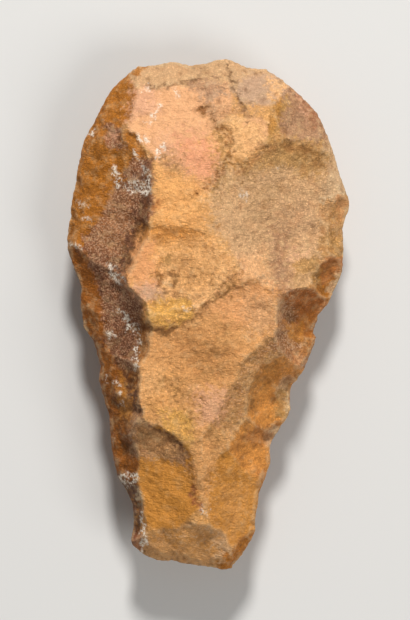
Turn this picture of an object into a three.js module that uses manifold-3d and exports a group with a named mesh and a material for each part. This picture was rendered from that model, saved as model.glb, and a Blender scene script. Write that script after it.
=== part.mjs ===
// A stone hand axe: one flat cobble of brown quartzite, flaked on both faces to a broad rounded
// working end at +Y and a narrow, blunt butt at -Y. It lies on its back face. Every face of the
// stone is a scar where a flake was struck off, so the solid is made the way the tool was:
// a cobble is trimmed to the outline, and then one scoop is taken out of it for each flake.
// Millimetres, +Z up, origin under the middle of the stone on the surface that it lies on.
import * as THREE from "three";
import { mergeVertices } from "three/addons/utils/BufferGeometryUtils.js";
import Module from "manifold-3d";

const wasm = await Module();
wasm.setup();

// The stone's edge runs round it at this height, between the front face above and the back below.
const EDGE_HEIGHT = 19.5;

// The cobble: two shallow domes, back to back, that the flaking has mostly removed. Each has its
// own rise above or below the edge and its own radius of curve, and both reach past the outline.
const COBBLE = {
  x: -6,
  y: 0,
  reach: 97,
  frontRise: 23.5,
  frontRadius: 227,
  backRise: 19.85,
  backRadius: 340,
};

// The block that wears the small flat on the back. Its top is the surface that the stone lies on.
const GROUND_BLOCK = { width: 300, height: 20 };

// How much the rough wall of the trimmed cobble leans in, as a share of its reach for each mm
// above or below the edge, and how far up and down that wall is modelled.
const WALL_LEAN = 0.009;
const WALL_HALF_HEIGHT = 26;

// How far a scoop's flat facets may stand off its true curve, and how finely the outline's bowed
// stretches are cut.
const SCOOP_TOLERANCE = 0.045;
const BOW_SEGMENTS = 3;

// The steepest that a flake's wall stands, and how far up a scoop's wall is drawn at that slope to
// clear the thickest stone above it.
const STEEPEST_WALL = THREE.MathUtils.degToRad(66);
const SCOOP_CLEARANCE = 50;

// The angle that one edge of a plain icosahedron spans from its centre.
const ICOSAHEDRON_EDGE_ANGLE = 1.107;

// The outline seen from the front: the corners where two edge flakes meet, clockwise from the
// middle of the working end. Each is [x, y, bow], and bow is how far the stretch of edge that
// follows the corner bulges outwards, or is bitten inwards where it is negative.
const EDGE_CORNERS = [
  [3, 89.9, 0.3], [9, 89.6, -0.9], [20.5, 86.7, 0.9], [38.6, 71, 0.7], [46.4, 49.5, 0],
  [49.9, 40, 0.5], [49.3, 35, -0.5], [47.6, 29, 0.3], [47.3, 15, 0.2], [44.3, 8, 0],
  [42.3, 3.6, 0], [38.7, -0.3, 0.4], [37.8, -9.5, 0], [35.3, -16, 0.6], [29.8, -24.8, -0.5],
  [29.2, -33, 0.4], [26, -39, 0], [22, -46, -0.2], [22.2, -51.5, 0.2], [18, -63, 0],
  [17.6, -67.5, -0.5], [16.9, -76, 0.5], [8.5, -89.3, 0.7], [3, -89.2, 0], [-5, -88.4, 0],
  [-13, -86.8, 0.8], [-22, -85, 0], [-26.8, -81.3, 0.7], [-26.7, -76.5, -0.3],
  [-26.8, -66.5, -0.3], [-31.6, -58, 0.4], [-34.3, -45.5, 0], [-35, -36, 0], [-38.7, -23, 0],
  [-37.9, -18.5, 0], [-40.4, -9.6, -0.1], [-44.3, -4.6, 0.5], [-44.7, 9.5, 0], [-49.4, 22, 0.6],
  [-49.3, 32, 0.3], [-44, 61, 0], [-34.6, 79, 0.4], [-24.5, 87.8, -0.3], [-16, 88.8, 0.5],
  [-8.5, 88.7, -0.9],
];

// Each flake scar is a scoop that touches its floor at one point. A row reads
//   [x, y, rise, faces, pitch, along, across, deep, turned]
// with x, y of that point and its rise from the edge's height (down from it on the back face);
// the way the floor slopes down, in degrees anticlockwise from +X, and how steeply; the scoop's
// half-lengths along the slope, across it and into the stone; and how far it is turned in its
// own plane. Short deep scoops end in a step, and long ones leave a nearly flat facet.
const FRONT_SCARS = {
  tip_left: [-12, 85.5, 2.3, 92, 38, 25, 60, 12],
  tip_right: [16, 81, 5.6, 68, 33, 30, 30, 12],
  tip_middle: [-10, 73, 10.2, 95, 20, 40, 50, 8],
  shoulder_left: [-32, 76, 3.6, 148, 42, 30, 30, 12],
  side_left: [-43, 44, 4.6, 172, 38, 50, 50, 12],
  hollow_left: [-31, 37, 9.6, 180, 29, 14, 27, 4.5, -18],
  hollow_side: [-38, 14, 5.6, 205, 44, 10, 16, 4.2, 20],
  hollow_below: [-33, 1, 8.4, 208, 33, 12.5, 17, 4.5],
  hollow_low: [-33, -14, 8.6, 200, 38, 9.5, 16, 4],
  waist_left: [-41, 0, 3.1, 195, 46, 24, 34, 8],
  flank_left: [-35, -32, 2.6, 190, 46, 20, 22, 7],
  flank_low: [-31, -48, 4, 200, 46, 14, 14, 5],
  shoulder_pit: [-33, 62, 10, 165, 30, 5, 6, 2],
  crown_step: [-13, 14, 20, 85, 5, 17, 19, 4.5],
  belly: [-3, -22, 18.6, 285, 3, 27, 30, 5],
  belly_right: [12, 1, 18.4, 312, 7, 14, 18, 4],
  crown_right: [10, 63, 14.2, 60, 17, 30, 22, 5],
  side_right: [25, 36, 10.2, 5, 23, 26, 27, 6],
  shoulder_right: [33, 70, 4, 35, 32, 15, 16, 5],
  rim_right: [44, 54, 2, 15, 48, 8, 12, 4],
  edge_right: [45, 31, 2.2, 0, 42, 12, 13, 5],
  notch_right: [43, 15, 3, 315, 42, 10, 8, 4],
  waist_right: [38, 4, 3.8, 292, 42, 11.5, 11, 5],
  waist_low: [32, -8, 5.4, 345, 40, 16, 11, 7],
  flank_right: [25, -26, 4.6, 322, 36, 17, 15, 6],
  flank_edge: [26, -31, 2, 10, 45, 8, 8, 4],
  ridge_strip: [11, -30, 15.6, 329, 20, 9, 26, 3],
  butt_shoulder: [17, -46, 5.6, 335, 36, 18, 13, 6],
  butt_notch: [22, -43, 2.6, 345, 50, 5, 6, 3],
  butt_right: [11, -68, 6, 345, 28, 26, 26, 7],
  butt_left: [-17, -62, 10.2, 214, 15, 20, 27, 6],
  butt_end: [-10, -82, 5, 268, 28, 20, 40, 8],
  butt_bevel: [12, -82, 2, 322, 52, 16, 14, 6],
  butt_wall: [-25, -71, 4.6, 182, 64, 18, 18, 8],
  butt_chip: [-28.5, -57.5, 4.4, 215, 45, 4, 3, 2],
};

const BACK_SCARS = {
  back_tip_left: [-15, 81, 5.2, 98, 28, 30, 26, 7],
  back_tip_right: [13, 80, 5, 78, 30, 28, 22, 7],
  back_shoulder_right: [33, 69, 4.6, 40, 34, 21, 20, 6],
  back_side_right: [41, 46, 4.6, 8, 34, 25, 21, 6],
  back_edge_right: [45, 22, 3, 352, 42, 13, 13, 4],
  back_waist_right: [36, 3, 4, 325, 36, 21, 16, 6],
  back_flank_right: [29, -20, 3.6, 342, 42, 13, 13, 5],
  back_flank_low: [19, -43, 5, 336, 34, 20, 20, 6],
  back_butt_right: [15, -67, 3.6, 348, 42, 13, 15, 5],
  back_butt_bevel: [10, -81, 4, 318, 38, 16, 14, 5],
  back_butt_end: [-9, -80, 5.6, 262, 28, 22, 22, 6],
  back_butt_left: [-23, -70, 3.6, 188, 46, 13, 15, 5],
  back_flank_left: [-27, -46, 4.8, 196, 38, 18, 21, 6],
  back_waist_left: [-35, -20, 3.4, 192, 44, 13, 15, 5],
  back_side_left: [-39, 3, 4.4, 186, 38, 20, 17, 6],
  back_edge_left: [-44, 27, 3.6, 176, 40, 15, 16, 5],
  back_shoulder_left: [-40, 52, 4.6, 163, 33, 23, 20, 6],
  back_tip_corner: [-31, 73, 4.4, 136, 36, 18, 16, 6],
  back_crown_middle: [2, 62, 12.6, 95, 15, 24, 25, 5],
  back_crown_right: [21, 45, 12.4, 25, 20, 25, 25, 5],
  back_crown_left: [-20, 42, 12.6, 155, 20, 24, 26, 5],
  back_side_inner: [-24, 8, 14.4, 192, 18, 15, 21, 4],
  back_waist_inner: [20, 7, 14.6, 340, 18, 15, 20, 4],
  back_belly_right: [10, -36, 13, 326, 18, 19, 28, 5],
  back_belly_left: [-14, -42, 13, 218, 18, 19, 28, 5],
  back_butt_ridge: [0, -66, 11.6, 272, 12, 25, 15, 4],
};

const STONE = new THREE.MeshStandardMaterial({ color: 0xb98450, roughness: 0.85, metalness: 0 });

// A closed three.js geometry as a solid that can be cut.
function toSolid(geometry) {
  geometry.deleteAttribute("normal");
  geometry.deleteAttribute("uv");
  const merged = mergeVertices(geometry, 1e-3);
  return new wasm.Manifold(
    new wasm.Mesh({
      numProp: 3,
      vertProperties: merged.attributes.position.array,
      triVerts: new Uint32Array(merged.index.array),
    }),
  );
}

// A cut solid as a three.js geometry again.
function toGeometry(solid) {
  const { vertProperties, triVerts } = solid.getMesh();
  const geometry = new THREE.BufferGeometry();
  geometry.setAttribute("position", new THREE.BufferAttribute(vertProperties, 3));
  geometry.setIndex(new THREE.BufferAttribute(triVerts, 1));
  geometry.computeVertexNormals();
  return geometry;
}

// The outline as a closed shape, each stretch between two corners bowed by its own amount.
function edgeOutline() {
  const outline = new THREE.Shape();
  outline.moveTo(EDGE_CORNERS[0][0], EDGE_CORNERS[0][1]);
  EDGE_CORNERS.forEach(([x, y, bow], i) => {
    const [nextX, nextY] = EDGE_CORNERS[(i + 1) % EDGE_CORNERS.length];
    const length = Math.hypot(nextX - x, nextY - y);
    const outX = -(nextY - y) / length;
    const outY = (nextX - x) / length;
    if (bow === 0) {
      outline.lineTo(nextX, nextY);
      return;
    }
    const pullX = (x + nextX) / 2 + 2 * bow * outX;
    const pullY = (y + nextY) / 2 + 2 * bow * outY;
    outline.quadraticCurveTo(pullX, pullY, nextX, nextY);
  });
  return outline;
}

// The trimmed block: the outline drawn up and down, widest at the edge and leaning in from it.
function trimmedBlock() {
  const geometry = new THREE.ExtrudeGeometry(edgeOutline(), {
    depth: 2 * WALL_HALF_HEIGHT,
    steps: 2,
    curveSegments: BOW_SEGMENTS,
    bevelEnabled: false,
  });
  geometry.translate(0, 0, -WALL_HALF_HEIGHT);
  const position = geometry.attributes.position;
  for (let i = 0; i < position.count; i += 1) {
    const reach = 1 - WALL_LEAN * Math.abs(position.getZ(i));
    position.setXY(i, position.getX(i) * reach, position.getY(i) * reach);
  }
  return toSolid(geometry);
}

// The cobble's two domes as one turned lens, from its lowest point round to its highest.
function cobbleLens() {
  const ringsPerDome = 8;
  const segments = 32;
  const profile = [];
  for (let i = 0; i <= ringsPerDome; i += 1) {
    const out = (i / ringsPerDome) * COBBLE.reach;
    const height = COBBLE.backRise - out ** 2 / (2 * COBBLE.backRadius);
    profile.push(new THREE.Vector2(out, -height));
  }
  for (let i = ringsPerDome; i >= 0; i -= 1) {
    const out = (i / ringsPerDome) * COBBLE.reach;
    const height = COBBLE.frontRise - out ** 2 / (2 * COBBLE.frontRadius);
    profile.push(new THREE.Vector2(out, height));
  }
  const lens = new THREE.LatheGeometry(profile, segments);
  lens.rotateX(Math.PI / 2);
  lens.translate(COBBLE.x, COBBLE.y, 0);
  return toSolid(lens);
}

// One scoop: the bowl of an ellipsoid whose lowest point is the scar's floor. Where the bowl would
// turn steeper than a flake's wall can stand, it is drawn on upwards and outwards at that slope.
// side is 1 on the front face and -1 on the back.
function scoop([x, y, rise, faces, pitch, along, across, deep, turned = 0], side) {
  const heading = THREE.MathUtils.degToRad(faces);
  const slope = THREE.MathUtils.degToRad(pitch);
  const flat = new THREE.Vector3(Math.cos(heading), Math.sin(heading), 0);
  const up = new THREE.Vector3(0, 0, side);
  const normal = up.clone().multiplyScalar(Math.cos(slope)).addScaledVector(flat, Math.sin(slope));
  const downhill = flat.clone().multiplyScalar(Math.cos(slope)).addScaledVector(up, -Math.sin(slope));
  downhill.applyAxisAngle(normal, THREE.MathUtils.degToRad(turned));
  const sideways = new THREE.Vector3().crossVectors(normal, downhill);
  const centre = new THREE.Vector3(x, y, side * rise).addScaledVector(normal, deep);
  const edgeSplits = ICOSAHEDRON_EDGE_ANGLE * Math.sqrt(deep / (8 * SCOOP_TOLERANCE));
  const geometry = new THREE.IcosahedronGeometry(1, Math.ceil(edgeSplits) - 1);
  const position = geometry.attributes.position;
  const unit = new THREE.Vector3();
  for (let i = 0; i < position.count; i += 1) {
    unit.fromBufferAttribute(position, i);
    const outward = new THREE.Vector3()
      .addScaledVector(downhill, unit.x / along)
      .addScaledVector(sideways, unit.y / across)
      .addScaledVector(normal, unit.z / deep)
      .normalize();
    const point = centre
      .clone()
      .addScaledVector(downhill, unit.x * along)
      .addScaledVector(sideways, unit.y * across)
      .addScaledVector(normal, unit.z * deep);
    if (outward.dot(up) > -Math.cos(STEEPEST_WALL)) {
      const sideOut = outward.setZ(0).normalize();
      point.addScaledVector(sideOut, SCOOP_CLEARANCE / Math.tan(STEEPEST_WALL));
      point.addScaledVector(up, SCOOP_CLEARANCE);
    }
    position.setXYZ(i, point.x, point.y, point.z);
  }
  return toSolid(geometry);
}

// The stone: the trimmed cobble less every flake, with a small flat worn on its back to lie on.
function flakedStone() {
  let stone = trimmedBlock().intersect(cobbleLens());
  Object.values(FRONT_SCARS).forEach((scar) => {
    stone = stone.subtract(scoop(scar, 1));
  });
  Object.values(BACK_SCARS).forEach((scar) => {
    stone = stone.subtract(scoop(scar, -1));
  });
  const { width, height } = GROUND_BLOCK;
  const ground = new THREE.BoxGeometry(width, width, height);
  ground.translate(0, 0, -EDGE_HEIGHT - height / 2);
  return stone.subtract(toSolid(ground)).translate([0, 0, EDGE_HEIGHT]);
}

const stoneGeometry = toGeometry(flakedStone());
stoneGeometry.computeBoundingBox();
const middle = stoneGeometry.boundingBox.getCenter(new THREE.Vector3());
stoneGeometry.translate(-middle.x, -middle.y, 0);

const handAxe = new THREE.Mesh(stoneGeometry, STONE);
handAxe.name = "hand_axe";

const part = new THREE.Group();
part.name = "stone_hand_axe";
part.add(handAxe);

export default part;
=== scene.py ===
"""A weathered quartzite hand axe, lying on its back face on a pale studio floor.

The stone is one closed mesh. It starts from the solid, is remeshed evenly, and is then worn and
roughened by a relief that is worked out in millimetres for the front face and the back face.
"""

import math

import bmesh
import bpy
import numpy as np
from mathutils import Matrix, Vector


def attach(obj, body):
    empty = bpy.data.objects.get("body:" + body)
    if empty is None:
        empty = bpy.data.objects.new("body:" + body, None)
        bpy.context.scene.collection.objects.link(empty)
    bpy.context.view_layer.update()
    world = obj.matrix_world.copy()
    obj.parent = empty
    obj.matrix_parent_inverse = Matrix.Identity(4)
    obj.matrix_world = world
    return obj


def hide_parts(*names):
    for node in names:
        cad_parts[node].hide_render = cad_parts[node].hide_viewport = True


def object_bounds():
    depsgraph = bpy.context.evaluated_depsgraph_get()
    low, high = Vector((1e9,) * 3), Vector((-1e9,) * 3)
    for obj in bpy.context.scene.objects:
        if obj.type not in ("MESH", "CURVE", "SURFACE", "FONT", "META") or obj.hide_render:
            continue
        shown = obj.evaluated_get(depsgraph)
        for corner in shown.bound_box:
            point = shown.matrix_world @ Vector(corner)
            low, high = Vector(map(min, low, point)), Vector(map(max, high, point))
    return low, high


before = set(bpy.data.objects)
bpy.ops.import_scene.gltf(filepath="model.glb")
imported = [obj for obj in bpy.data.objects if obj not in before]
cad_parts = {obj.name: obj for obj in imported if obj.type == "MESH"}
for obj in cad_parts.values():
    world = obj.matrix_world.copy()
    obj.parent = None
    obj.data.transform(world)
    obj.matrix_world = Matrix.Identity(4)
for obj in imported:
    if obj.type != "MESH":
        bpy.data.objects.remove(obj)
cad_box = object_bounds()

MM = 0.001

# The fine mesh: its spacing in mm, the height below which it is thinned to keep the stone under
# 200,000 triangles, and the share of all the triangles that is left.
MESH_STEP = 0.55
BACK_TOP = 18.0
THINNED_TO = 0.64

# The outline and the scars are given about the middle of the outline's corners, at the height of
# the edge. The stone's own frame has its middle a little to one side of that.
EDGE_HEIGHT = 19.5
MIDDLE = (0.148, 0.089)

# The cobble's two domes: rise and radius. Its trimmed wall leans in by this share for each mm of
# height, and no flake's wall stands steeper than the angle.
COBBLE = {"x": -6, "y": 0, "front": (23.5, 227), "back": (19.85, 340)}
WALL_LEAN = 0.009
STEEPEST_WALL = math.radians(66)

# Corners of the outline, clockwise: x, y and the bow of the edge that follows.
EDGE_CORNERS = [
    (3, 89.9, 0.3), (9, 89.6, -0.9), (20.5, 86.7, 0.9), (38.6, 71, 0.7), (46.4, 49.5, 0),
    (49.9, 40, 0.5), (49.3, 35, -0.5), (47.6, 29, 0.3), (47.3, 15, 0.2), (44.3, 8, 0),
    (42.3, 3.6, 0), (38.7, -0.3, 0.4), (37.8, -9.5, 0), (35.3, -16, 0.6), (29.8, -24.8, -0.5),
    (29.2, -33, 0.4), (26, -39, 0), (22, -46, -0.2), (22.2, -51.5, 0.2), (18, -63, 0),
    (17.6, -67.5, -0.5), (16.9, -76, 0.5), (8.5, -89.3, 0.7), (3, -89.2, 0), (-5, -88.4, 0),
    (-13, -86.8, 0.8), (-22, -85, 0), (-26.8, -81.3, 0.7), (-26.7, -76.5, -0.3),
    (-26.8, -66.5, -0.3), (-31.6, -58, 0.4), (-34.3, -45.5, 0), (-35, -36, 0), (-38.7, -23, 0),
    (-37.9, -18.5, 0), (-40.4, -9.6, -0.1), (-44.3, -4.6, 0.5), (-44.7, 9.5, 0),
    (-49.4, 22, 0.6), (-49.3, 32, 0.3), (-44, 61, 0), (-34.6, 79, 0.4), (-24.5, 87.8, -0.3),
    (-16, 88.8, 0.5), (-8.5, 88.7, -0.9),
]

# Flake scars: x, y, rise, faces, pitch, along, across, deep, turned, as in the part's source.
# The last value names the scar's finish.
FRONT_SCARS = {
    "tip_left": (-12, 85.5, 2.3, 92, 38, 25, 60, 12, 0, "sand"),
    "tip_right": (16, 81, 5.6, 68, 33, 30, 30, 12, 0, "lilac"),
    "tip_middle": (-10, 73, 10.2, 95, 20, 40, 50, 8, 0, "peach"),
    "shoulder_left": (-32, 76, 3.6, 148, 42, 30, 30, 12, 0, "amber"),
    "side_left": (-43, 44, 4.6, 172, 38, 50, 50, 12, 0, "amber"),
    "hollow_left": (-31, 37, 9.6, 180, 29, 14, 27, 4.5, -18, "amber"),
    "hollow_side": (-38, 14, 5.6, 205, 44, 10, 16, 4.2, 20, "umber"),
    "hollow_below": (-33, 1, 8.4, 208, 33, 12.5, 17, 4.5, 0, "umber"),
    "hollow_low": (-33, -14, 8.6, 200, 38, 9.5, 16, 4, 0, "umber"),
    "waist_left": (-41, 0, 3.1, 195, 46, 24, 34, 8, 0, "umber"),
    "flank_left": (-35, -32, 2.6, 190, 46, 20, 22, 7, 0, "umber"),
    "flank_low": (-31, -48, 4, 200, 46, 14, 14, 5, 0, "umber"),
    "shoulder_pit": (-33, 62, 10, 165, 30, 5, 6, 2, 0, "plum"),
    "crown_step": (-13, 14, 20, 85, 5, 17, 19, 4.5, 0, "honey"),
    "belly": (-3, -22, 18.6, 285, 3, 27, 30, 5, 0, "clay"),
    "belly_right": (12, 1, 18.4, 312, 7, 14, 18, 4, 0, "clay"),
    "crown_right": (10, 63, 14.2, 60, 17, 30, 22, 5, 0, "peach"),
    "side_right": (25, 36, 10.2, 5, 23, 26, 27, 6, 0, "sand"),
    "shoulder_right": (33, 70, 4, 35, 32, 15, 16, 5, 0, "rose"),
    "rim_right": (44, 54, 2, 15, 48, 8, 12, 4, 0, "tan"),
    "edge_right": (45, 31, 2.2, 0, 42, 12, 13, 5, 0, "bronze"),
    "notch_right": (43, 15, 3, 315, 42, 10, 8, 4, 0, "amber"),
    "waist_right": (38, 4, 3.8, 292, 42, 11.5, 11, 5, 0, "russet"),
    "waist_low": (32, -8, 5.4, 345, 40, 16, 11, 7, 0, "heather"),
    "flank_right": (25, -26, 4.6, 322, 36, 17, 15, 6, 0, "copper"),
    "flank_edge": (26, -31, 2, 10, 45, 8, 8, 4, 0, "sand"),
    "ridge_strip": (11, -30, 15.6, 329, 20, 9, 26, 3, 0, "fawn"),
    "butt_shoulder": (17, -46, 5.6, 335, 36, 18, 13, 6, 0, "copper"),
    "butt_notch": (22, -43, 2.6, 345, 50, 5, 6, 3, 0, "sand"),
    "butt_right": (11, -68, 6, 345, 28, 26, 26, 7, 0, "ochre"),
    "butt_left": (-17, -62, 10.2, 214, 15, 20, 27, 6, 0, "ochre"),
    "butt_end": (-10, -82, 5, 268, 28, 20, 40, 8, 0, "tan"),
    "butt_bevel": (12, -82, 2, 322, 52, 16, 14, 6, 0, "amber"),
    # The butt wall's dark grape is partly its own dark stain and partly painted shade on a steep
    # wall turned from the light.
    "butt_wall": (-25, -71, 4.6, 182, 64, 18, 18, 8, 0, "grape"),
    "butt_chip": (-28.5, -57.5, 4.4, 215, 45, 4, 3, 2, 0, "umber"),
}

BACK_SCARS = {
    "back_tip_left": (-15, 81, 5.2, 98, 28, 30, 26, 7, 0, "sand"),
    "back_tip_right": (13, 80, 5, 78, 30, 28, 22, 7, 0, "sand"),
    "back_shoulder_right": (33, 69, 4.6, 40, 34, 21, 20, 6, 0, "amber"),
    "back_side_right": (41, 46, 4.6, 8, 34, 25, 21, 6, 0, "ochre"),
    "back_edge_right": (45, 22, 3, 352, 42, 13, 13, 4, 0, "sand"),
    "back_waist_right": (36, 3, 4, 325, 36, 21, 16, 6, 0, "umber"),
    "back_flank_right": (29, -20, 3.6, 342, 42, 13, 13, 5, 0, "amber"),
    "back_flank_low": (19, -43, 5, 336, 34, 20, 20, 6, 0, "umber"),
    "back_butt_right": (15, -67, 3.6, 348, 42, 13, 15, 5, 0, "amber"),
    "back_butt_bevel": (10, -81, 4, 318, 38, 16, 14, 5, 0, "ochre"),
    "back_butt_end": (-9, -80, 5.6, 262, 28, 22, 22, 6, 0, "bronze"),
    "back_butt_left": (-23, -70, 3.6, 188, 46, 13, 15, 5, 0, "umber"),
    "back_flank_left": (-27, -46, 4.8, 196, 38, 18, 21, 6, 0, "amber"),
    "back_waist_left": (-35, -20, 3.4, 192, 44, 13, 15, 5, 0, "amber"),
    "back_side_left": (-39, 3, 4.4, 186, 38, 20, 17, 6, 0, "umber"),
    "back_edge_left": (-44, 27, 3.6, 176, 40, 15, 16, 5, 0, "amber"),
    "back_shoulder_left": (-40, 52, 4.6, 163, 33, 23, 20, 6, 0, "ochre"),
    "back_tip_corner": (-31, 73, 4.4, 136, 36, 18, 16, 6, 0, "amber"),
    "back_crown_middle": (2, 62, 12.6, 95, 15, 24, 25, 5, 0, "peach"),
    "back_crown_right": (21, 45, 12.4, 25, 20, 25, 25, 5, 0, "sand"),
    "back_crown_left": (-20, 42, 12.6, 155, 20, 24, 26, 5, 0, "honey"),
    "back_side_inner": (-24, 8, 14.4, 192, 18, 15, 21, 4, 0, "russet"),
    "back_waist_inner": (20, 7, 14.6, 340, 18, 15, 20, 4, 0, "clay"),
    "back_belly_right": (10, -36, 13, 326, 18, 19, 28, 5, 0, "clay"),
    "back_belly_left": (-14, -42, 13, 218, 18, 19, 28, 5, 0, "ochre"),
    "back_butt_ridge": (0, -66, 11.6, 272, 12, 25, 15, 4, 0, "ochre"),
}


def linear(hex_colour):
    """An sRGB hex colour as linear red, green and blue."""
    values = [int(hex_colour[i:i + 2], 16) / 255 for i in (1, 3, 5)]
    return tuple(v / 12.92 if v <= 0.04045 else ((v + 0.055) / 1.055) ** 2.4 for v in values)


# The stone's finishes: colour, and how strongly the grain shows. Iron in the ground has stained the
# quartzite more on some scars than on others, from the pale fresh stone to a dark plum patina.
# "shade" is no stain but painted shade, laid as dark lines under steps and in creases, and "grape",
# the darkest plum, is plum patina that is also laid as painted shade on walls and hollows turned
# from the light.
FINISHES = {
    "peach": ("#e6aa78", 0.3),
    "blush": ("#dfa580", 0.4),
    "coral": ("#e29d66", 0.35),
    "salmon": ("#e69a70", 0.3),
    "honey": ("#e8a662", 0.5),
    "wheat": ("#ecb276", 0.6),
    "straw": ("#d8a04e", 0.8),
    "clay": ("#d99b5e", 0.5),
    "sand": ("#cda072", 0.75),
    "tan": ("#cb9f72", 0.5),
    "bone": ("#cfb088", 0.5),
    "lilac": ("#be9878", 0.4),
    "rose": ("#ad815e", 0.8),
    "fawn": ("#bf8a53", 0.9),
    "bronze": ("#b4854a", 0.85),
    "ochre": ("#c68437", 0.4),
    "copper": ("#cf883f", 0.55),
    "amber": ("#b06c22", 0.7),
    "rust": ("#ad6a34", 0.5),
    "russet": ("#a3602a", 0.8),
    "brick": ("#985634", 0.4),
    "umber": ("#8f5218", 0.75),
    "mauve": ("#ad764c", 0.95),
    "heather": ("#9c6a41", 1.0),
    "plum": ("#8a583b", 1.0),
    "grape": ("#653f2c", 0.8),
    # painted shade, not a colour of the stone
    "shade": ("#583819", 0.4),
    "cobble": ("#d59c5e", 0.6),
}


# The relief and the colours are worked out on a grid over the stone, in millimetres.
GRID_STEP = 0.25
GRID_X = np.arange(-54, 54, GRID_STEP)
GRID_Y = np.arange(-94, 94, GRID_STEP)
X, Y = np.meshgrid(GRID_X, GRID_Y)


def blurred(field, size):
    """The field smoothed over about size millimetres."""
    reach = max(1, int(round(3 * size / GRID_STEP)))
    taps = np.exp(-0.5 * (np.arange(-reach, reach + 1) * GRID_STEP / size) ** 2)
    taps /= taps.sum()
    for axis in (0, 1):
        padding = [(0, 0), (0, 0)]
        padding[axis] = (reach, reach)
        padded = np.pad(field, padding, mode="edge")
        length = field.shape[axis]
        field = sum(
            tap * np.take(padded, range(i, i + length), axis=axis) for i, tap in enumerate(taps)
        )
    return field


def cloud(seed, size):
    """A random field on the grid whose lumps are about size millimetres across, of spread 1."""
    rough = np.random.default_rng(seed).standard_normal(X.shape)
    fx = np.fft.fftfreq(X.shape[1], GRID_STEP)
    fy = np.fft.fftfreq(X.shape[0], GRID_STEP)
    waves = (fx[None, :] ** 2 + fy[:, None] ** 2) * size**2
    field = np.fft.ifft2(np.fft.fft2(rough) * waves * np.exp(-waves)).real
    return field / field.std()


def clouds(seed, *lumps):
    """Random fields added up: how strong each one is, and the size of its lumps in mm."""
    return sum(amount * cloud(seed + i, size) for i, (amount, size) in enumerate(lumps))


def smooth_step(low, high, value):
    """0 below low, 1 above high, and a smooth rise between them."""
    share = np.clip((value - low) / (high - low), 0, 1)
    return share * share * (3 - 2 * share)


# Borders between finishes and the lines of steps waver, and break up into mottles.
MARK_X = X + clouds(300, (0.45, 6), (0.3, 2), (0.12, 1))
MARK_Y = Y + clouds(303, (0.45, 6), (0.3, 2), (0.12, 1))
MOTTLE = clouds(306, (0.6, 3.2), (0.6, 1.6), (0.5, 0.9))


def window(places, margin):
    """The part of the grid round the places. The margin gets 3 mm more for the wavering."""
    low, high = np.min(places, 0) - margin - 3, np.max(places, 0) + margin + 3
    rows = slice(*np.searchsorted(GRID_Y, (low[1], high[1])))
    return rows, slice(*np.searchsorted(GRID_X, (low[0], high[0])))


def trace(places, area):
    """For a line through the places: the distance from it, how far right of it each point lies,
    how far along it the nearest place is, and its length."""
    x, y = MARK_X[area], MARK_Y[area]
    nearest, right, walked = (np.full(x.shape, value) for value in (1e3, 0.0, 0.0))
    length = 0.0
    for (x0, y0), (x1, y1) in zip(places, places[1:] or places):
        step = math.hypot(x1 - x0, y1 - y0) or 1.0
        u, v = (x1 - x0) / step, (y1 - y0) / step
        forward = np.clip((x - x0) * u + (y - y0) * v, 0, step)
        away = np.hypot(x - x0 - forward * u, y - y0 - forward * v)
        closer = away < nearest
        nearest = np.where(closer, away, nearest)
        right = np.where(closer, (x - x0) * v - (y - y0) * u, right)
        walked = np.where(closer, length + forward, walked)
        length += step
    return nearest, right, walked, length


def streak(width, soft, *places):
    """The area round a line through the places, and 1 on the line where it is that wide, with a
    soft, mottled border."""
    area = window(places, width / 2 + 2 * soft)
    away = trace(places, area)[0] + 0.35 * soft * MOTTLE[area]
    return area, 1 - smooth_step((width - soft) / 2, (width + soft) / 2, away)


def patch(soft, *corners):
    """The area round the corners, and 1 inside them, with a soft, mottled border."""
    area = window(corners, 2 * soft)
    x, y = MARK_X[area], MARK_Y[area]
    away = trace((*corners, corners[0]), area)[0]
    inside = np.zeros(x.shape, dtype=bool)
    for (x0, y0), (x1, y1) in zip(corners, (*corners[1:], corners[0])):
        inside ^= ((y0 > y) != (y1 > y)) & (x < x0 + (x1 - x0) * (y - y0) / ((y1 - y0) or 1.0))
    away = np.where(inside, away, -away) + 0.35 * soft * MOTTLE[area]
    return area, smooth_step(-soft / 2, soft / 2, away)


def ledge(drop, width, fade, *places):
    """The area of a step down on the right-hand side of a line walked through the places, and its
    depth. The foot of the step rises again over the fade."""
    area = window(places, 6 * fade)
    away, right, walked, length = trace(places, area)
    beyond = np.where(right > 0, away, -away)
    ends = smooth_step(0, 6, walked) * smooth_step(0, 6, length - walked)
    step = smooth_step(-width / 2, width / 2, beyond)
    return area, drop * ends * step * np.exp(-np.maximum(beyond, 0) / fade)


def gathered(rows):
    """The strongest of several streaks at each place."""
    field = np.zeros(X.shape)
    for strength, *row in rows:
        area, share = streak(*row)
        field[area] = np.maximum(field[area], strength * share)
    return field


def edge_points():
    """Points along the outline, with each stretch between two corners bowed by its own amount."""
    points = []
    for i, (x, y, bow) in enumerate(EDGE_CORNERS):
        next_x, next_y, _ = EDGE_CORNERS[(i + 1) % len(EDGE_CORNERS)]
        length = math.hypot(next_x - x, next_y - y)
        out_x, out_y = -(next_y - y) / length, (next_x - x) / length
        for t in np.arange(0, 1, 0.5 / length):
            bulge = 4 * bow * t * (1 - t)
            points.append((
                x + (next_x - x) * t + out_x * bulge, y + (next_y - y) * t + out_y * bulge
            ))
    return np.array(points)


EDGE = edge_points()


def edge_share(x, y):
    """How far out a point lies, as a share of the outline's reach in that direction."""
    angles = np.arctan2(EDGE[:, 1], EDGE[:, 0])
    order = np.argsort(angles)
    reach = np.interp(
        np.arctan2(y, x), angles[order], np.hypot(EDGE[:, 0], EDGE[:, 1])[order], period=2 * math.pi
    )
    return np.hypot(x, y) / reach


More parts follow.
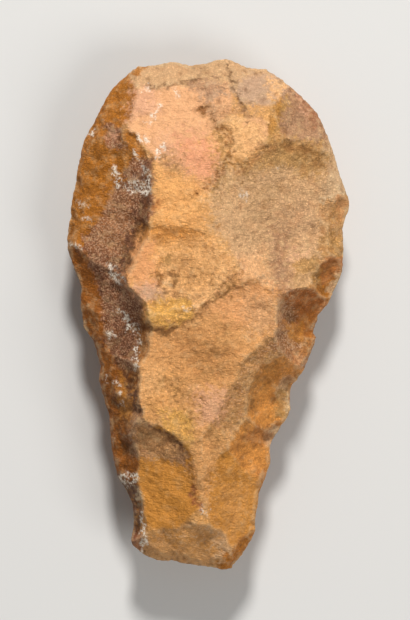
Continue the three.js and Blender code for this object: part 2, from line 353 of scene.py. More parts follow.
def scoop(row, x, y):
    """The height of one scar's scoop over each point, and how far the point is from where the
    flake was struck."""
    cx, cy, rise, faces, pitch, along, across, deep, turned = row[:9]
    heading, slope, turn = (math.radians(v) for v in (faces, pitch, turned))
    flat = np.array([math.cos(heading), math.sin(heading), 0])
    up = np.array([0, 0, 1])
    normal = math.cos(slope) * up + math.sin(slope) * flat
    downhill = math.cos(slope) * flat - math.sin(slope) * up
    sideways = np.cross(normal, downhill)
    downhill, sideways = (
        math.cos(turn) * downhill + math.sin(turn) * sideways,
        math.cos(turn) * sideways - math.sin(turn) * downhill,
    )
    centre = np.array([cx, cy, rise]) + deep * normal
    axes = np.stack([downhill * along, sideways * across, normal * deep])
    unit = np.stack([downhill / along, sideways / across, normal / deep])
    wall = np.full(x.shape, -1e3)
    for angle in np.linspace(0, 2 * math.pi, 40, endpoint=False):
        face = np.array([math.cos(angle), math.sin(angle), 0]) * math.sin(STEEPEST_WALL)
        face -= up * math.cos(STEEPEST_WALL)
        reach = face @ centre + np.linalg.norm(axes @ face)
        wall = np.maximum(wall, (face[0] * x + face[1] * y - reach) / math.cos(STEEPEST_WALL))
    level = [u[0] * (x - centre[0]) + u[1] * (y - centre[1]) for u in unit]
    a = (unit[:, 2] ** 2).sum()
    b = sum(value * u[2] for value, u in zip(level, unit))
    inside = b * b - a * (sum(value**2 for value in level) - 1)
    down = -(b + np.sqrt(np.maximum(inside, 1e-9))) / a
    steepness = np.tensordot(unit.T, np.stack([v + u[2] * down for v, u in zip(level, unit)]), 1)
    too_steep = -steepness[2] < math.cos(STEEPEST_WALL) * np.linalg.norm(steepness, axis=0)
    height = np.where((inside > 0) & ~too_steep, down + centre[2], wall)
    struck = np.array([cx, cy]) + flat[:2] * along
    return height, np.hypot(x - struck[0], y - struck[1])


def cut(height, owner, number, row, x, y, ripple=0.0):
    """Takes one scoop out of the height field where the scoop lies below it."""
    reach = max(row[5], row[6]) + 14
    rows = np.flatnonzero(np.abs(GRID_Y - row[1]) < reach)
    columns = np.flatnonzero(np.abs(GRID_X - row[0]) < reach)
    near = np.ix_(rows, columns)
    floor, distance = scoop(row, x[near], y[near])
    wave = 4.2 + 0.06 * distance
    floor = floor + ripple * np.sin(2 * math.pi * distance / wave + number)
    lower = floor < height[near]
    height[near] = np.where(lower, floor, height[near])
    if owner is not None:
        owner[near] = np.where(lower, number, owner[near])


def edge_chips(seed, count):
    """Small flakes knocked off along the edge by use, as scar rows."""
    rng = np.random.default_rng(seed)
    chips = []
    for i in rng.choice(len(EDGE), count, replace=False):
        tangent = EDGE[(i + 3) % len(EDGE)] - EDGE[i - 3]
        outward = math.degrees(math.atan2(tangent[0], -tangent[1]))
        size = 1.0 + 2.2 * rng.random() ** 2
        inset = size * rng.uniform(0.1, 0.5)
        x = EDGE[i][0] - inset * math.cos(math.radians(outward))
        y = EDGE[i][1] - inset * math.sin(math.radians(outward))
        rise = rng.uniform(0.3, 1.6)
        faces = outward + rng.normal(0, 18)
        chips.append((x, y, rise, faces, rng.uniform(38, 56), size, size * rng.uniform(0.9, 1.6),
                      size * 0.5, 0))
    return chips


# Steps where a flake broke off short, soft swells and hollows, and creases. Ledges: drop, width of
# the step, how far its foot takes to rise again, and the places that it runs through, lower on the
# right-hand side. Swells: height, width, softness, places. Creases: depth, width, softness, places.
# Rough and worn places: strength, width, softness, places.
FRONT_LEDGES = [
    (1.3, 0.7, 6, (-24, 1), (-22.5, -1), (-20, -5), (-15, -5.2), (-11, -3), (-6, -2)),
    (0.8, 1.0, 5, (-20, 6.5), (-17.5, 9), (-16.5, 14), (-17.5, 21)),
    (0.5, 0.9, 4, (-22, 5), (-17, 3.5), (-12, 4.8), (-7, 4)),
    (0.8, 1.4, 6, (-8, -3), (-3, 0), (0, 4), (6, 8), (10, 10), (16, 11), (22, 11)),
    (0.8, 0.8, 5, (-27, 79.5), (-15, 80.4), (-10, 81.2), (-3, 83.2), (6, 84)),
    (0.8, 0.7, 5, (6.2, 90), (7.3, 86), (9.2, 80), (11.9, 73.5), (13.8, 68)),
    (0.6, 1.2, 5, (-7, 84), (-3, 79), (4, 75), (11, 74), (20, 74)),
    (1.0, 1.2, 8, (8, 47), (15, 55), (21, 60.4), (26.3, 62), (36.7, 58.9), (43.3, 54), (46, 48)),
    (0.8, 0.9, 6, (20, 60), (20.5, 66), (22, 72), (27, 78)),
    (0.8, 1.4, 6, (-24, 33), (-18, 30), (-10, 30), (-3, 29.5), (2, 25)),
    (0.5, 1.4, 5, (-5.5, -47), (-6, -56), (-5, -61), (-1.2, -70)),
    (0.4, 1.2, 5, (-26, -30), (-22, -36), (-19, -39), (-14, -41.5), (-9, -46.5), (-4, -53)),
    (0.6, 0.9, 4, (50, 44.5), (44, 41.5), (38, 39.5)),
    (0.3, 1.4, 4, (39.3, 17), (39.3, 42)),
    (0.7, 0.9, 5, (31, 20), (37, 20), (43, 20.5), (50, 20)),
    (0.6, 1.0, 4, (47, 16), (43.5, 13), (39.5, 8)),
    (0.35, 1.2, 4, (24.5, -25), (23.5, -34), (28, -37.5)),
    (0.35, 1.4, 5, (12, -42), (18, -40), (28, -37.5)),
    (0.3, 1.2, 5, (-3, -12), (4, -13.6), (11, -11.5)),
    (0.9, 1.0, 5, (-3, 75), (1, 69.5), (3.5, 65), (8, 65)),
    (0.9, 1.0, 5, (3.5, 66), (7, 57.5), (6, 50.5), (1, 43.5), (-6, 40)),
    (1.3, 1.4, 9, (-30, 67), (-27, 63.5), (-23, 59), (-20.5, 54.5), (-20, 50)),
]
FRONT_SWELLS = [
    (1.5, 7, 6, (-22.5, 20), (-20, 12)),
    (-1.8, 4, 3.5, (-15, 12.5), (-13, 10.5)),
    (0.9, 1.6, 1.4, (-14.2, 11.3)),
    (0.6, 2.5, 2, (-8, 12), (-4, 16)),
    (-1.0, 2.5, 2, (-4, 9), (1, 13)),
    (0.5, 2, 2, (-9, 18), (-5, 20)),
    (1.0, 6, 6, (-4, 14), (2, 16)),
    (0.8, 4, 3.5, (-18, -0.5), (-13, -2)),
    (-1.2, 4, 4, (-17, 5.5), (-8, 4.5)),
    (-0.6, 5, 5, (-16, 24), (-8, 24)),
    (0.7, 1.6, 1.3, (-18.5, 2)),
    (0.7, 1.6, 1.3, (-14, 3.4)),
    (0.6, 1.5, 1.2, (-10.5, 1.2)),
    (0.7, 1.5, 1.2, (-17, -2.4)),
    (0.5, 1.3, 1.1, (-12.5, -1.8)),
    (-0.6, 1.1, 1.1, (-16, 0.8)),
    (-0.6, 1.1, 1.1, (-13, 0.6)),
    (-0.5, 1.0, 1.0, (-20, -0.6)),
    (-0.5, 8, 8, (-18, -9), (-8, -10)),
    (0.7, 6, 6, (-1, 0), (9, -3)),
    (-0.7, 7, 7, (0, -17), (3, -19)),
    (0.5, 4, 5, (4, -20), (11, -14.5), (19, -11)),
    (0.8, 7, 7, (-20, -20), (-17, -27)),
    (-1.0, 5, 5, (-13, -26), (-9, -31)),
    (0.8, 7, 6, (0, -28), (2, -33)),
    (-0.4, 5, 5, (9, -28), (6, -38)),
]
FRONT_WORN = [
    (0.9, 14, 10, (12, 50), (8, 42), (7, 32), (9, 23), (16, 16)),
    (0.8, 8, 6, (17, 58), (12, 53)),
    (0.7, 8, 6, (4, 66), (10, 56)),
    (0.6, 8, 6, (2, 6), (14, 12), (26, 11)),
]
FRONT_CREASES = [
    (0.5, 1.6, 1.6, (-36, -9), (-31, -17), (-28, -23), (-24.5, -32)),
    (0.35, 1.4, 1.4, (-34, -27), (-31, -35), (-28, -42)),
    (0.3, 1.2, 1.2, (-33, -35), (-30, -42), (-28.5, -50)),
    (0.3, 1.2, 1.2, (-28, -40), (-28.5, -54)),
    (0.3, 1.0, 1.0, (-23, 57), (-21.5, 47)),
    (0.3, 1.0, 1.0, (-21, 52), (-15, 58)),
    (0.9, 1.2, 1.2, (-3, 73), (1, 69.5), (3.5, 65.5), (8, 64)),
    (0.8, 1.2, 1.2, (3.5, 65), (7.3, 61.7), (7.9, 56.5), (5, 50.5), (1.4, 46.5), (-4, 42)),
    (0.6, 1.4, 1.4, (-17, 13), (-16.5, 9), (-14, 7.5), (-11.5, 9), (-12, 13), (-15, 14.5)),
    (0.35, 1.4, 1.2, (2, -50), (-1, -56), (-2, -61)),
    (0.25, 1.2, 1.2, (-38, 30), (-42, 27)),
    (0.3, 2.5, 2.5, (-35, 66), (-34, 61), (-29, 59)),
]
FRONT_ROUGH = [
    (1.0, 14, 10, (-12, 18), (2, 12)),
    (1.0, 8, 5, (-18, 0), (-8, 1)),
    (1.0, 9, 7, (1, 70), (7, 58), (2, 44)),
    (0.8, 9, 7, (8, 47), (18, 57)),
    (1.0, 9, 7, (-14, -26), (-8, -38), (-3, -44)),
    (0.6, 10, 8, (10, -16), (9, -34), (2, -46)),
    (0.5, 20, 16, (14, 40), (20, 26)),
    (0.8, 10, 8, (22, 20), (26, -2)),
    (0.8, 8, 6, (-33, 63)),
    (0.4, 10, 8, (-30, 30), (-32, 12)),
    (0.5, 12, 10, (-12, -8), (10, -12)),
]
BACK_LEDGES = [
    (0.8, 1.0, 7, (-26, 30), (-12, 24), (2, 26), (14, 20), (26, 24)),
    (0.6, 1.2, 6, (-18, -14), (-6, -20), (6, -16), (16, -22)),
    (0.6, 1.4, 6, (20, 64), (14, 52), (16, 40)),
    (0.5, 1.2, 5, (-30, 50), (-22, 56), (-12, 54)),
]
BACK_SWELLS = [
    (0.6, 10, 10, (-14, 34), (-6, 30)),
    (-0.6, 8, 8, (10, 38), (18, 30)),
    (0.5, 8, 8, (-6, -30), (4, -26)),
    (-0.5, 8, 8, (-4, 60), (8, 66)),
]
BACK_WORN = [
    (0.7, 10, 8, (-10, 30), (6, 12), (2, -10)),
]
BACK_CREASES = [
    (0.35, 1.4, 1.4, (-20, 66), (-14, 60), (-12, 50)),
    (0.3, 1.4, 1.4, (8, -2), (14, -10), (16, -20)),
]
BACK_ROUGH = [
    (0.9, 18, 14, (-4, 22), (8, 4)),
    (0.8, 14, 10, (-8, 62), (-16, 46)),
    (0.7, 14, 12, (2, -30), (-2, -52)),
]


def relief(scars, dome, chips, worn, swells, ledges, creases, rough, seed):
    """One face of the stone: its height over the edge's plane, and which scar each place is on."""
    bend_x = clouds(seed, (0.45, 18), (0.2, 7), (0.06, 2.6))
    bend_y = clouds(seed + 3, (0.45, 18), (0.2, 7), (0.06, 2.6))
    x, y = X + bend_x, Y + bend_y
    height = dome[0] - ((x - COBBLE["x"]) ** 2 + (y - COBBLE["y"]) ** 2) / (2 * dome[1])
    owner = np.full(X.shape, -1)
    for number, row in enumerate(scars):
        cut(height, owner, number, row, x, y, ripple=0.06)
    for number, row in enumerate(chips):
        cut(height, None, number, row, X + 0.4 * bend_x, Y + 0.4 * bend_y)
    height += (blurred(height, 2.5) - height) * gathered(worn)
    swollen = np.zeros(X.shape)
    for amount, *row in swells:
        area, share = streak(*row)
        swollen[area] += amount * share
    height += blurred(swollen, 1.2)
    for row in ledges:
        area, drop = ledge(*row)
        height[area] -= drop
    height -= gathered(creases)
    height += clouds(seed + 6, (0.2, 11), (0.08, 4), (0.035, 1.8))
    grainy = 0.5 + 1.8 * gathered(rough)
    height += grainy * clouds(seed + 11, (0.065, 2.6), (0.04, 1.3))
    height -= 0.3 * np.maximum(grainy - 1, 0) * smooth_step(0.8, 2.2, cloud(seed + 13, 1.7))
    edge = (1 - edge_share(X, Y)) / WALL_LEAN + 0.25 * cloud(seed + 9, 3)
    height = np.minimum(height, edge)
    wear = 0.25 + 0.45 * smooth_step(-1.2, 1.4, cloud(seed + 10, 14))
    rubbed = np.minimum(height, blurred(height, 0.45))
    return height + (rubbed - height) * wear, owner


FRONT_ROWS = list(FRONT_SCARS.values())
BACK_ROWS = list(BACK_SCARS.values())
front_height, front_owner = relief(
    FRONT_ROWS, COBBLE["front"], edge_chips(11, 60), FRONT_WORN, FRONT_SWELLS, FRONT_LEDGES,
    FRONT_CREASES, FRONT_ROUGH, 100
)
back_height, back_owner = relief(
    BACK_ROWS, COBBLE["back"], edge_chips(12, 70), BACK_WORN, BACK_SWELLS, BACK_LEDGES,
    BACK_CREASES, BACK_ROUGH, 200
)
back_height = np.minimum(back_height, EDGE_HEIGHT)


def sample(field, x, y):
    """The grid field's value at each point, blended between the four nearest places."""
    column = np.clip((x - GRID_X[0]) / GRID_STEP, 0, len(GRID_X) - 1.001)
    row = np.clip((y - GRID_Y[0]) / GRID_STEP, 0, len(GRID_Y) - 1.001)
    i, j = row.astype(int), column.astype(int)
    v, u = (row - i), (column - j)
    if field.ndim == 3:
        v, u = v[:, None], u[:, None]
    upper = field[i, j] * (1 - u) + field[i, j + 1] * u
    lower = field[i + 1, j] * (1 - u) + field[i + 1, j + 1] * u
    return upper * (1 - v) + lower * v


def settle(points, rounds):
    """Moves the points on to the relief, along its slope, and rounds the edge between the faces."""
    slopes = [np.gradient(field, GRID_STEP) for field in (front_height, back_height)]
    rounding = 0.5
    for _ in range(rounds):
        x, y, z = points.T
        gaps, normals = [], []
        for side, field, (dy, dx) in ((1, front_height, slopes[0]), (-1, back_height, slopes[1])):
            normal = np.stack([-sample(dx, x, y), -sample(dy, x, y), np.full(len(x), side)], 1)
            length = np.linalg.norm(normal, axis=1)
            gaps.append((side * z - sample(field, x, y)) / length)
            normals.append(normal / length[:, None])
        apart = gaps[0] - gaps[1]
        share = np.clip(0.5 + apart / (2 * rounding), 0, 1)
        gap = gaps[1] + apart * share + rounding * share * (1 - share)
        normal = normals[0] * share[:, None] + normals[1] * (1 - share)[:, None]
        normal /= np.maximum(np.linalg.norm(normal, axis=1), 0.3)[:, None]
        points = points - np.clip(gap, -1, 1)[:, None] * normal
    return points


def even_out(points, pairs, amount):
    """Moves each point towards the middle of its neighbours, so that the mesh stays even."""
    total = np.zeros_like(points)
    count = np.zeros(len(points))
    for a, b in ((0, 1), (1, 0)):
        np.add.at(total, pairs[:, a], points[pairs[:, b]])
        np.add.at(count, pairs[:, a], 1)
    return points + amount * (total / count[:, None] - points)


def take_modifier(piece):
    """Gives the piece the mesh that its modifier makes."""
    evaluated = piece.evaluated_get(bpy.context.evaluated_depsgraph_get())
    made = bpy.data.meshes.new_from_object(evaluated)
    piece.modifiers.clear()
    piece.vertex_groups.clear()
    piece.data = made
    return made


def stone_mesh():
    """The stone's fine mesh: the solid remeshed evenly, thinner at the back, and settled on to the
    relief."""
    bm = bmesh.new()
    bm.from_mesh(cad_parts["hand_axe"].data)
    bmesh.ops.remove_doubles(bm, verts=bm.verts, dist=1e-6)
    coarse = bpy.data.meshes.new("stone_coarse")
    bm.to_mesh(coarse)
    bm.free()
    stone = bpy.data.objects.new("worked_stone", coarse)
    bpy.context.scene.collection.objects.link(stone)
    remesh = stone.modifiers.new("even", "REMESH")
    remesh.mode = "VOXEL"
    remesh.voxel_size = MESH_STEP * MM
    remesh.use_smooth_shade = True
    fine = take_modifier(stone)
    back = stone.vertex_groups.new(name="back")
    back.add([v.index for v in fine.vertices if v.co.z < BACK_TOP * MM], 1, "REPLACE")
    thinner = stone.modifiers.new("thinner", "DECIMATE")
    thinner.ratio = THINNED_TO
    thinner.vertex_group = "back"
    thinner.vertex_group_factor = 10
    fine = take_modifier(stone)
    fine.name = "worked_stone"
    points = np.empty(len(fine.vertices) * 3)
    fine.vertices.foreach_get("co", points)
    points = points.reshape(-1, 3) / MM + (*MIDDLE, -EDGE_HEIGHT)
    pairs = np.empty(len(fine.edges) * 2, dtype=int)
    fine.edges.foreach_get("vertices", pairs)
    pairs = pairs.reshape(-1, 2)
    points = settle(points, 4)
    for _ in range(3):
        points = settle(even_out(points, pairs, 0.5), 2)
    placed = (points - (*MIDDLE, -EDGE_HEIGHT)) * MM
    placed = np.clip(placed, np.array(cad_box[0]), np.array(cad_box[1]))
    fine.vertices.foreach_set("co", placed.ravel())
    fine.update()
    return stone, points


stone, points = stone_mesh()


# Where the front face differs from its scars' own finishes. Patches: finish, strength, softness of
# the border and corners. Streaks: finish, strength, width, softness and places. Most are stains;
# the rows marked below paint shade or highlight where the relief turns away from or towards the
# light.
FRONT_PATCHES = [
    ("tan", 1, 0.8, (-24, 89), (-24, 84), (-26, 80), (-15, 80.4), (-10, 81.2), (-3, 83.2),
     (5, 84.2), (6.6, 90)),
    ("amber", 0.9, 1, (-27, 84), (-23.5, 84.5), (-22, 89), (-26, 87)),
    ("tan", 1, 1.5, (6.6, 90), (7, 85), (9, 79), (10, 75), (13, 83), (22, 85), (20, 90)),
    # Purple-grey under the tip strip: partly a lilac stain, partly painted shadow below the strip's
    # step.
    ("lilac", 0.9, 3, (-7, 82), (4, 82.5), (6, 77), (1, 74), (-3, 77)),
    ("mauve", 0.45, 2.5, (-9, 81.5), (-2, 82.6), (5, 82.5), (6, 79), (0, 77), (-5, 78.5)),
    ("lilac", 0.9, 3, (11, 83), (20, 84), (21, 76), (18, 73), (12, 73), (9.5, 77)),
    ("wheat", 0.8, 3, (21, 83), (28, 81), (26, 76), (22, 75)),
    ("blush", 0.8, 4, (-26, 79.5), (-19, 79), (-18, 70), (-22, 63), (-28, 64), (-28, 68)),
    ("peach", 1, 1.6, (-28, 66), (-25, 62.7), (-21, 57.5), (-19.5, 53.5), (-12, 54), (-12, 68),
     (-24, 70)),
    ("amber", 1, 1.2, (-29, 66.5), (-25.7, 62.2), (-21.8, 57.2), (-20.5, 53.5), (-27, 52),
     (-32, 60)),
    ("blush", 0.7, 9, (-16, 62), (0, 60), (3, 48), (-5, 44), (-15, 50)),
    ("salmon", 0.7, 5, (-11, 62), (2, 61), (4, 47), (-3, 45), (-8, 52)),
    ("honey", 0.9, 5, (-19, 52), (-8, 49), (0, 44), (0, 28), (-20, 28), (-19, 40)),
    ("wheat", 0.9, 5, (6, 71), (20, 67), (20, 60), (15, 53), (8, 55), (4, 62)),
    ("rose", 0.5, 4, (-2, 74), (8, 74), (18, 69), (8, 69), (3, 64)),
    ("sand", 0.9, 5, (5, 52), (14, 50), (24, 52), (24, 20), (14, 16), (3, 28), (-1, 40)),
    # A darker bronze band below the ledge at the top of side_right: partly stain, partly painted
    # shade of the step's wall turned from the light.
    ("bronze", 0.8, 3, (12, 50), (20, 59), (26, 62.5), (33, 61), (40, 60.5), (43.5, 56), (42, 51),
     (36, 48), (26, 52)),
    ("rose", 0.4, 8, (24, 38), (36, 40), (38, 32), (31, 25), (21, 28)),
    ("tan", 0.7, 5, (4, 36), (18, 37), (20, 29), (10, 23), (1, 30)),
    ("rose", 0.8, 4, (22, 30), (27, 28), (28, 18), (29, 8), (24, 8), (22, 20)),
    ("blush", 0.5, 3, (9, 20), (18, 21), (22, 14), (12, 12)),
    ("blush", 0.4, 4, (28, 22), (34, 22), (33, 14), (29, 10)),
    ("bronze", 0.8, 1.2, (30, 17.5), (35, 20), (40, 20.2), (40, 11), (35, 9.5), (30, 9)),
    ("tan", 0.7, 2, (29.5, 14), (36, 15), (36.5, 10), (29.5, 8.8)),
    ("fawn", 0.7, 1, (39.5, 40), (44, 41.5), (48, 43.5), (50, 39), (48, 34), (48, 21),
     (39.5, 20.5)),
    ("bronze", 0.6, 2, (39.5, 28), (48, 28), (48, 20.5), (39.5, 20.5)),
    ("coral", 0.5, 2, (45, 42), (50, 40), (48, 33), (45.5, 35)),
    # Rust triangle: partly stain, partly painted shade on a facet turned down, away from the light.
    ("rust", 0.9, 1, (40, 20.3), (48, 20.4), (46.5, 15.5), (40, 10)),
    ("tan", 0.9, 1, (46.3, 16), (47.4, 12), (44.5, 7.3), (40.2, 7.6)),
    ("bone", 0.4, 1.5, (41, 62), (44, 63), (47, 50), (47.5, 44), (41, 42), (42, 50), (43.5, 56)),
    # The wall west of shoulder_right: bronze stain, darkened as painted shade where it turns from
    # the light.
    ("bronze", 1, 1.5, (20.5, 61), (20.5, 66), (22, 72), (26.5, 77), (28, 75), (25, 67), (24, 62)),
    ("ochre", 0.5, 1, (20.8, 63), (21, 68), (23.5, 75), (26.5, 77), (24.5, 70), (23.5, 64)),
    ("brick", 0.4, 3, (28, 82), (33, 79), (40, 69), (37, 66), (34, 72)),
    ("plum", 1, 1.6, (-27, 54.5), (-20, 54), (-19.6, 41), (-18, 38), (-20, 33), (-24, 30.5),
     (-27, 22), (-29, 14), (-27, 10), (-23, 6), (-23.5, -2), (-24, -8), (-25.5, -19),
     (-28, -20), (-31.5, -16), (-36, -8), (-37, 2), (-39.5, 15), (-44.7, 24), (-42.8, 28.5),
     (-38.7, 32.5), (-35.2, 40), (-32.7, 43.7), (-28.6, 49.4)),
    ("mauve", 0.7, 5, (-34, 42), (-28, 42), (-27, 30), (-32, 20), (-40, 24), (-39, 30)),
    # Painted shadow on the shaded side of the ridge below hollow_left, over the plum patina.
    ("grape", 0.15, 3, (-43, 22), (-36, 19), (-31, 14), (-29, 10), (-24, 5), (-24, -1), (-30, -4),
     (-36, -8), (-36.5, 2), (-39, 14)),
    ("honey", 1, 1.5, (-24.5, 31), (-5, 30), (3, 26), (9, 19), (10, 11), (4, 6.5), (-4, -1),
     (-11, -3), (-15, -5), (-20, -5), (-23, 0), (-22, 5), (-28, 11), (-29, 16)),
    # The orange-brown band at the top of the lobe: partly stain, partly painted shade on the step's
    # wall that faces down.
    ("copper", 0.8, 3, (-24.5, 31), (-5, 30.5), (-3, 27.5), (-12, 26), (-23.5, 25.5)),
    ("coral", 0.9, 4, (-26, 27), (-19, 25), (-17, 14), (-20, 9), (-25, 8), (-29, 14)),
    ("blush", 0.8, 3, (-26, 10), (-18, 12), (-15.5, 7), (-18, 5), (-23, 5)),
    ("wheat", 0.9, 5, (-16, 21), (2, 25), (9, 17), (6, 8), (-4, 0), (-10, 4), (-16, 6)),
    ("honey", 0.5, 6, (-13, 21), (0, 22), (4, 14), (-2, 8), (-10, 9)),
    ("straw", 0.9, 1.5, (-22, 3), (-17, 6), (-7, 6), (-5, -1), (-11, -3), (-15, -5), (-20, -5)),
    ("coral", 0.6, 5, (-2, 2), (8, 9), (20, 12), (24, 8), (23, -5), (10, -4)),
    ("wheat", 0.6, 3, (12, 20), (20, 21), (22, 14), (13, 13)),
    ("rose", 0.6, 2, (23, 20), (28, 19), (28.5, 12), (23.5, 11.5)),
    ("clay", 0.8, 8, (-22, -6), (-8, -6), (0, -2), (10, -9), (8, -18), (-8, -19), (-22, -14)),
    ("sand", 0.5, 5, (12, 6), (24, 6), (24, -6), (14, -8)),
    ("honey", 0.7, 6, (-24, -18), (-8, -20), (-12, -34), (-22, -34)),
    ("wheat", 0.5, 4, (-24, -18), (-16, -19), (-14, -26), (-22, -28)),
    ("straw", 0.8, 3, (-16, -33), (-8, -33), (-4, -39), (-7, -46), (-15, -41)),
    ("blush", 0.7, 4, (-4, -26), (7, -26), (5, -37), (-3, -38.5)),
    ("clay", 0.9, 3, (-2, -39), (6, -39), (3, -50), (1, -58), (-1, -68), (-5, -60), (-6, -48)),
    ("heather", 0.9, 2.5, (24, 10), (30, 2), (32, -4), (30, -12), (22, -14), (19, -12.5), (24, -8)),
    ("fawn", 0.6, 3, (22, -14), (17, -19), (15, -28), (13, -38), (5, -41), (5, -37), (8, -29),
     (11, -22), (14, -17), (19, -12.5)),
    # Painted shade: a darker hollow just below the lobe's step.
    ("umber", 0.35, 8, (-12, -7), (4, -9), (9, -17), (2, -21), (-8, -19)),
    ("amber", 0.5, 2, (33, 1), (39, 1), (38, -12), (34, -17), (31, -8)),
    ("ochre", 0.6, 3, (27, -2.8), (34.5, -3), (34, -9), (29, -9)),
    ("coral", 0.35, 2, (28.4, -13), (33.5, -13), (33, -19), (28.5, -18)),
    ("umber", 0.3, 3, (23, -18), (32, -19), (29, -25.5), (22, -23.5)),
    ("bronze", 0.9, 1.5, (24.5, -26), (30, -27), (30, -35), (26, -37.5), (23.5, -35)),
    ("bone", 0.5, 1.5, (27.5, -27), (30, -28), (30, -33), (27, -35)),
    # A reddish band under a low ledge: partly rust stain, partly painted shade.
    ("rust", 0.6, 2, (12, -41.5), (20, -39.5), (27, -38), (24, -44), (18, -46), (12, -44)),
    ("rose", 0.85, 2, (-24.5, -33), (-20, -38.5), (-14, -41), (-8, -47), (-6.5, -54), (-12, -51),
     (-20, -50), (-27, -50), (-28, -42), (-27, -35)),
    ("ochre", 0.6, 2, (-30, -19), (-27.5, -26), (-25.5, -32), (-27, -39), (-30, -36), (-32, -28)),
    ("ochre", 0.6, 7, (-24, -66), (-22, -76), (-10, -80), (2, -82), (4, -76), (-6, -72)),
    ("sand", 0.2, 8, (3, -60), (15, -58), (14, -76), (6, -82)),
    ("fawn", 0.7, 2.5, (-24, -35), (-20, -39), (-14, -42), (-9, -48), (-14, -50), (-25, -48)),
    # Plum patina on the low hollow, darkened further as painted shade where it faces down and left.
    ("grape", 0.45, 3, (-34, -2), (-24, -2), (-25, -19), (-31, -16)),
    ("ochre", 0.5, 4, (-23, -71), (-15, -76.5), (-5, -78.5), (0, -80), (4, -84), (3, -90),
     (-22, -88), (-24, -80)),
    ("amber", 1, 1.5, (17.5, -76), (13, -77), (4, -86.5), (2, -90), (9, -91)),
    ("brick", 0.7, 2, (-28, -77), (-23.5, -76), (-22.5, -86), (-28, -83)),
    ("plum", 0.9, 1.5, (-36.5, 68), (-33, 67), (-33, 65), (-36, 64)),
    ("plum", 0.9, 1.5, (-35.5, 63), (-30, 61), (-28, 58), (-33, 58.5)),
    ("blush", 0.8, 1.5, (-34.5, 65), (-31, 64.5), (-31.5, 61), (-35, 62)),
]
